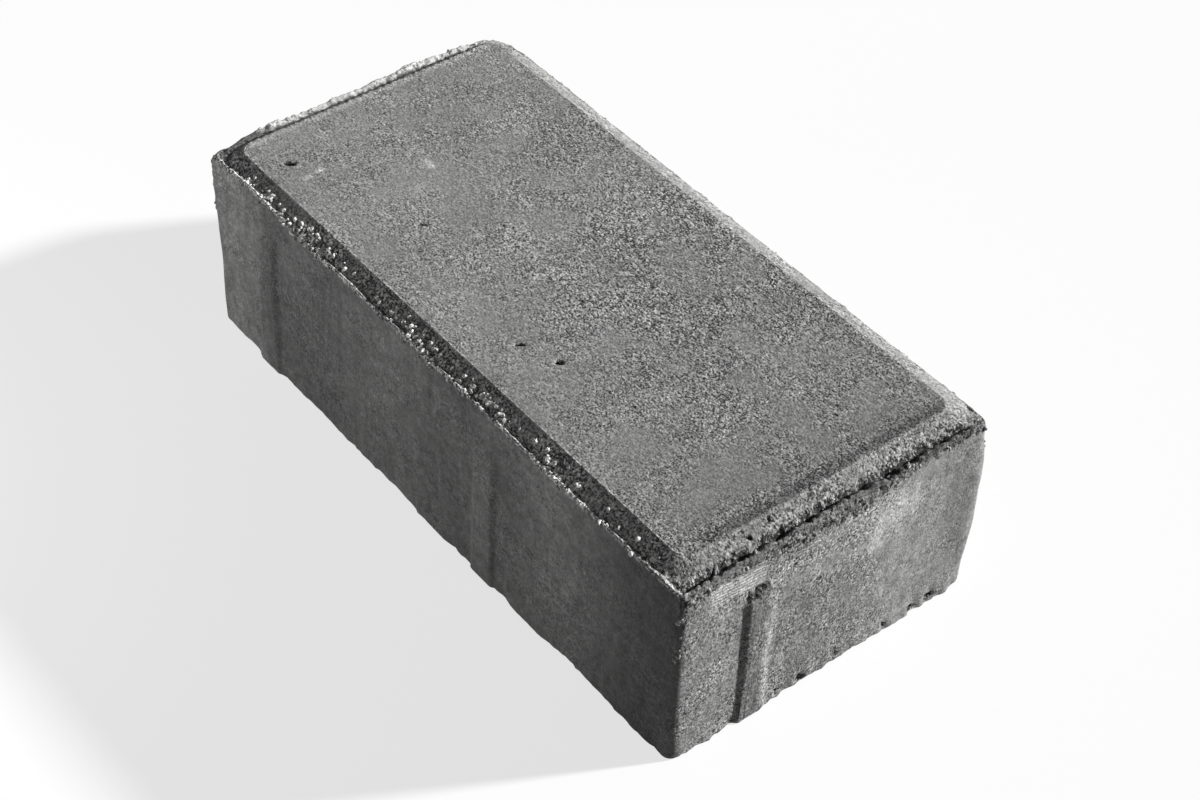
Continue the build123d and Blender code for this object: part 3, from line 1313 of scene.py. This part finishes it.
def speckle_group():
    """Fine sand in the cement: a tone round 0 and a height, for any material."""
    tree = bpy.data.node_groups.new("sand_speckle", "ShaderNodeTree")
    sockets = (
        ("Place", "NodeSocketVector", (0.0, 0.0, 0.0)),
        ("Grain Size", "NodeSocketFloat", 0.6),
    )
    start = named_inputs(tree, sockets)
    scale = reckon(tree, "DIVIDE", 1.0, start["Grain Size"])
    cells = put(tree, "ShaderNodeTexVoronoi", {"Vector": start["Place"], "Scale": scale})
    lone = put(tree, "ShaderNodeSeparateColor", {"Color": cells.outputs["Color"]})
    pattern = {"Scale": product(tree, scale, speckle_noise_fineness), **speckle_noise}
    soft = noise(tree, start["Place"], pattern)
    bright = reckon(tree, "POWER", lone.outputs[0], speckle_grain_power)
    grain = product(tree, reckon(tree, "SUBTRACT", bright, speckle_grain_middle), speckle_grain_contrast)
    cloud = product(tree, reckon(tree, "SUBTRACT", soft, noise_middle), speckle_noise_contrast)
    distance = cells.outputs["Distance"]
    dome = reckon(tree, "SUBTRACT", 1.0, product(tree, distance, distance, speckle_dome_fall))
    tall = reckon(tree, "POWER", lone.outputs[1], speckle_rise_power)
    grown = product(tree, dome, tall, speckle_grain_rise)
    height = summed(tree, grown, product(tree, soft, speckle_noise_rise))
    outputs = (
        ("Tone", "NodeSocketFloat", summed(tree, grain, cloud)),
        ("Height", "NodeSocketFloat", height),
    )
    named_outputs(tree, outputs)
    return tree


# The pores: a noise shoves their edges about, and each has a soft edge
pore_shove_noise = {"Scale": 1.8, "Detail": 2.0}
pore_shove = 0.7
pore_edge = 0.3


def pore_group():
    """Small holes here and there, which the concrete darkens with painted shade: 1 inside a hole and 0
    outside.
    """
    tree = bpy.data.node_groups.new("pores", "ShaderNodeTree")
    sockets = (
        ("Place", "NodeSocketVector", (0.0, 0.0, 0.0)),
        ("Spacing", "NodeSocketFloat", 3.0),
        ("Largest", "NodeSocketFloat", 0.5),
        ("Share", "NodeSocketFloat", 0.4),
    )
    start = named_inputs(tree, sockets)
    scale = reckon(tree, "DIVIDE", 1.0, start["Spacing"])
    ragged = put(tree, "ShaderNodeTexNoise", {"Vector": start["Place"], **pore_shove_noise})
    shove = vector_reckon(tree, "SCALE", ragged.outputs["Color"], pore_shove)
    place = vector_reckon(tree, "ADD", start["Place"], shove)
    cells = put(tree, "ShaderNodeTexVoronoi", {"Vector": place, "Scale": scale})
    chance = put(tree, "ShaderNodeSeparateColor", {"Color": cells.outputs["Color"]})
    reach = product(tree, start["Largest"], scale)
    size = product(tree, reach, chance.outputs[1])
    depth = reckon(tree, "SUBTRACT", size, cells.outputs["Distance"])
    edge = reckon(tree, "DIVIDE", depth, product(tree, reach, pore_edge), clamp=True)
    kept = reckon(tree, "LESS_THAN", chance.outputs[0], start["Share"])
    named_outputs(tree, (("Hole", "NodeSocketFloat", product(tree, edge, kept)),))
    return tree


speckle = speckle_group()
pores = pore_group()


def new_material(name):
    """An empty node material with its shader, and the stone's own coordinates in millimetres."""
    material = bpy.data.materials.new(name)
    material.use_nodes = True
    tree = material.node_tree
    shader = tree.nodes["Principled BSDF"]
    place = put(tree, "ShaderNodeTexCoord").outputs["Object"]
    place = vector_reckon(tree, "SCALE", place, 1 / MM)
    return material, tree, shader, place


def grouped(tree, group, inputs):
    """Places a shared node group."""
    node = tree.nodes.new("ShaderNodeGroup")
    node.node_tree = group
    for name, value in inputs.items():
        fill_socket(tree, node.inputs[name], value)
    return node.outputs


def surface_zone(tree, name):
    """A zone of the stone's surface, in a material."""
    return put(tree, "ShaderNodeAttribute", attribute_name=name).outputs["Fac"]


def mixed(tree, share, low, high):
    """A number between two others."""
    return put(tree, "ShaderNodeMix", {"Factor": share, "A": low, "B": high}, data_type="FLOAT").outputs[0]


def set_shader(tree, shader, tone, tint, roughness, gloss):
    """Gives a shader its colour, the tint made lighter or darker by the tone, and its constant values."""
    tree.links.new(vector_reckon(tree, "SCALE", tint, tone), shader.inputs["Base Color"])
    shader.inputs["Roughness"].default_value = roughness
    shader.inputs["Specular IOR Level"].default_value = gloss


# The concrete. Scales are in cycles per millimetre, and strengths are shares of the usual tone.
concrete_grey = (0.236, 0.236, 0.233)
concrete_roughness = 0.92
concrete_gloss = 0.2
concrete_grain_size = 0.7
darkest_grain = 0.15
patch_noise = {"Scale": 0.09, "Detail": 3.0}
patch_coarseness = (0.6, 1.4)
cloud_noise = {"Scale": 0.035, "Detail": 4.0}
cloud_tone = (0.88, 1.12)
streak_stretch = (0.5, 0.5, 0.06)
streak_noise = {"Scale": 1.0, "Detail": 3.0}
streak_tone = (0.88, 1.12)
mottle_noise = {"Scale": 0.3, "Detail": 6.0, "Roughness": 0.7}
mottle_tone = (0.66, 1.34)
noise_span = (0.3, 0.7)
drag_sway = (-0.3, 0.3)
drag_wave_span = (-0.5, 0.5)
drag_tone = 1.45
drag_rise = 0.5
pore_inputs = {"Spacing": 2.2, "Largest": 0.62, "Share": 0.16}
pore_coarseness = (0.5, 1.2)
fray_noise = {"Scale": 1.3, "Detail": 3.0}
fray_near_hole = (0.05, 0.3)
fray_strength = (-0.75, 0.75)
hole_edge = (0.35, 0.6)
# How dark the painted shade in the pores, pits, dents and the crevice is
hole_shade_tone = 0.15
bump_coarseness = (0.0, 1.6)
bump_strength = (0.1, 0.9)
bump_distance = 0.22 * MM


def side_tone(tree, place, mottle):
    """The tone of the sides: faint upright streaks and mottled cement."""
    long_way = vector_reckon(tree, "MULTIPLY", place, streak_stretch)
    streak = mapped(tree, noise(tree, long_way, streak_noise), noise_span, streak_tone)
    streak = product(tree, streak, mapped(tree, mottle, noise_span, mottle_tone))
    return mixed(tree, surface_zone(tree, "side"), 1.0, streak)


def dragged_ridges(tree, place, mottle):
    """The ridges of the streaks beside the right end's nib: 1 on a ridge."""
    along = put(tree, "ShaderNodeSeparateXYZ", {"Vector": place}).outputs
    level = summed(tree, along["Z"], product(tree, along["Y"], streaks["incline"]))
    level = summed(tree, level, mapped(tree, mottle, noise_span, drag_sway))
    wave = reckon(tree, "SINE", product(tree, level, 2 * math.pi / streaks["spacing"]))
    return product(tree, mapped(tree, wave, drag_wave_span, (0.0, 1.0)), surface_zone(tree, "lines"))


def hole_shade(tree, place, coarse):
    """Where painted shade darkens the pores, pits, dents and the crevice, with frayed edges: 1 inside."""
    holes = grouped(tree, pores, {"Place": place, **pore_inputs})
    pore = product(tree, holes["Hole"], mapped(tree, coarse, pore_coarseness, (0.0, 1.0)))
    near_hole = mapped(tree, surface_zone(tree, "hole"), fray_near_hole, (0.0, 1.0))
    fray = product(tree, mapped(tree, noise(tree, place, fray_noise), noise_span, fray_strength), near_hole)
    deep = summed(tree, surface_zone(tree, "hole"), fray)
    return reckon(tree, "MAXIMUM", pore, mapped(tree, deep, hole_edge, (0.0, 1.0)))


def concrete_material():
    """Matt grey concrete: fine sand in patches, pores, cloudy cement and faint upright streaks, with painted
    shade in the pores and pits.
    """
    material, tree, shader, place = new_material("grey_concrete")
    sand = grouped(tree, speckle, {"Place": place, "Grain Size": concrete_grain_size})
    patches = mapped(tree, noise(tree, place, patch_noise), sand_patch_span, patch_coarseness)
    coarse = product(tree, patches, surface_zone(tree, "coarse"))
    grainy = summed(tree, product(tree, sand["Tone"], coarse), 1.0)
    grainy = reckon(tree, "MAXIMUM", grainy, darkest_grain)
    cloud = mapped(tree, noise(tree, place, cloud_noise), noise_span, cloud_tone)
    mottle = noise(tree, place, mottle_noise)
    ridge = dragged_ridges(tree, place, mottle)
    # Painted shade in the pores, pits, dents and the crevice
    dark = hole_shade(tree, place, coarse)
    tone = product(
        tree,
        grainy,
        cloud,
        side_tone(tree, place, mottle),
        mixed(tree, ridge, 1.0, drag_tone),
        surface_zone(tree, "tone"),
        mixed(tree, dark, 1.0, hole_shade_tone),
    )
    set_shader(tree, shader, tone, concrete_grey, concrete_roughness, concrete_gloss)
    grown = product(tree, sand["Height"], mapped(tree, coarse, bump_coarseness, bump_strength))
    height = summed(tree, reckon(tree, "SUBTRACT", grown, dark), product(tree, ridge, drag_rise))
    bump = put(tree, "ShaderNodeBump", {"Height": height, "Strength": 1.0, "Distance": bump_distance})
    tree.links.new(bump.outputs["Normal"], shader.inputs["Normal"])
    return material


# The bare grains
bare_grain_grey = (0.3, 0.3, 0.295)
bare_grain_roughness = 0.8
bare_grain_gloss = 0.3
bare_grain_size = 1.2
bare_grain_contrast = 0.9
bare_grain_palest = 2.3


def grain_material():
    """Bare grains of pale sand and crushed stone: palest where they stand in the open on the rims."""
    material, tree, shader, place = new_material("bare_sand_grains")
    sand = grouped(tree, speckle, {"Place": place, "Grain Size": bare_grain_size})
    tone = summed(tree, product(tree, sand["Tone"], bare_grain_contrast), 1.0)
    tone = product(tree, tone, mixed(tree, surface_zone(tree, "bare"), 1.0, bare_grain_palest))
    set_shader(tree, shader, tone, bare_grain_grey, bare_grain_roughness, bare_grain_gloss)
    return material


def link(name, data):
    """Puts an object in the scene."""
    made = bpy.data.objects.new(name, data)
    bpy.context.scene.collection.objects.link(made)
    return made


# The stone and its bare grains
stone = link("paving_stone_cast", stone_surface())
relief = {
    "Sand Height": 0.15 * MM,
    "Sand Size": 1.4 * MM,
    "Break Height": 1.9 * MM,
    "Break Size": 1.9 * MM,
    "Patch Size": 11 * MM,
    "Sway Height": 0.45 * MM,
    "Sway Size": 12 * MM,
    "Lowest": tuple(low_corner),
    "Highest": tuple(high_corner),
    "Finish": concrete_material(),
}
apply_tree(stone, relief_tree(), relief)

grains = link("exposed_grains", stone.data.copy())
grain_inset = 1.4 * MM
scatter = {
    "Density": 2.1 / MM**2,
    "Smallest": 0.25 * MM,
    "Largest": 0.75 * MM,
    "Seed": 11,
    "Lowest": tuple(c + grain_inset for c in low_corner),
    "Highest": tuple(c - grain_inset for c in high_corner),
    "Finish": grain_material(),
}
apply_tree(grains, grain_tree(), scatter)

for piece in (stone, grains):
    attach(piece, "root")
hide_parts("paving_stone")


def seen_directly(tree):
    """1 for rays that see a thing directly, in a mirror or through glass."""
    path = put(tree, "ShaderNodeLightPath").outputs
    seen = reckon(tree, "MAXIMUM", path["Is Camera Ray"], path["Is Glossy Ray"])
    return reckon(tree, "MAXIMUM", seen, path["Is Transmission Ray"])


# The floor. It looks white but sends little light back on to the stone, and its glow keeps the shadow light.
floor_half = 3.0
floor_drop = 0.1 * MM
floor_unseen = 0.3
floor_seen = 0.9
floor_glow_share = 0.72
white = (1.0, 1.0, 1.0, 1.0)


def pale_floor():
    """A wide level floor that looks white and keeps a light shadow."""
    mesh = bpy.data.meshes.new("pale_floor")
    ways = ((-1, -1), (1, -1), (1, 1), (-1, 1))
    mesh.from_pydata([(floor_half * x, floor_half * y, 0) for x, y in ways], [], [(0, 1, 2, 3)])
    mesh.transform(Matrix.Translation((0, 0, -floor_drop)))
    floor = link("pale_floor", mesh)
    material = bpy.data.materials.new("pale_floor")
    material.use_nodes = True
    tree = material.node_tree
    tree.nodes.remove(tree.nodes["Principled BSDF"])
    pale = mixed(tree, seen_directly(tree), floor_unseen, floor_seen)
    matt = put(tree, "ShaderNodeBsdfDiffuse", {"Color": pale}).outputs[0]
    glow = put(tree, "ShaderNodeEmission", {"Color": white, "Strength": 1.0}).outputs[0]
    share = product(tree, seen_directly(tree), floor_glow_share)
    blend = put(tree, "ShaderNodeMixShader", {0: share, 1: matt, 2: glow})
    tree.links.new(blend.outputs[0], tree.nodes["Material Output"].inputs["Surface"])
    mesh.materials.append(material)


# The lights: where each stands or points, in metres, and how strong it is
key_direction = Vector((1.0, 1.95, 1.0))
key_strength = 6.9
key_angle = 4
fill_place = Vector((-0.15, -0.25, 0.05))
fill_aim = Vector((0, -0.05, 0.03))
fill_size = 0.12
fill_power = 0.2
room_light = 0.08


def lights():
    """A soft low key light from behind on the right, a weak low fill on the left and a faint pale room."""
    key = bpy.data.lights.new("key_light", "SUN")
    key.energy = key_strength
    key.angle = math.radians(key_angle)
    lamp = link("key_light", key)
    lamp.rotation_euler = key_direction.to_track_quat("Z", "Y").to_euler()
    fill = bpy.data.lights.new("fill_light", "AREA")
    fill.shape = "DISK"
    fill.size = fill_size
    fill.energy = fill_power
    lamp = link("fill_light", fill)
    lamp.location = fill_place
    lamp.rotation_euler = (fill_place - fill_aim).to_track_quat("Z", "Y").to_euler()
    lamp.visible_camera = False
    world = bpy.data.worlds.new("pale_room")
    bpy.context.scene.world = world
    world.use_nodes = True
    tree = world.node_tree
    strength = reckon(tree, "MAXIMUM", seen_directly(tree), room_light)
    background = tree.nodes["Background"]
    background.inputs["Color"].default_value = white
    tree.links.new(strength, background.inputs["Strength"])


# The camera stands where the photograph was taken from
camera_place = Vector((350.512, -293.898, 455.333)) * MM
camera_aim = Vector((15.697, -5.227, 30.0)) * MM
camera_lens = 71.217
camera_sensor = 36.0
camera_roll = 3.216


def camera():
    """The camera, turned a little about its own line of sight."""
    data = bpy.data.cameras.new("camera")
    data.lens = camera_lens
    data.sensor_width = camera_sensor
    seen_from = link("camera", data)
    turn = (camera_aim - camera_place).to_track_quat("-Z", "Y").to_matrix()
    turn = turn @ Matrix.Rotation(math.radians(camera_roll), 3, "Z")
    seen_from.matrix_world = Matrix.Translation(camera_place) @ turn.to_4x4()
    bpy.context.scene.camera = seen_from


pale_floor()
lights()
camera()
bpy.context.scene.view_settings.view_transform = "Standard"
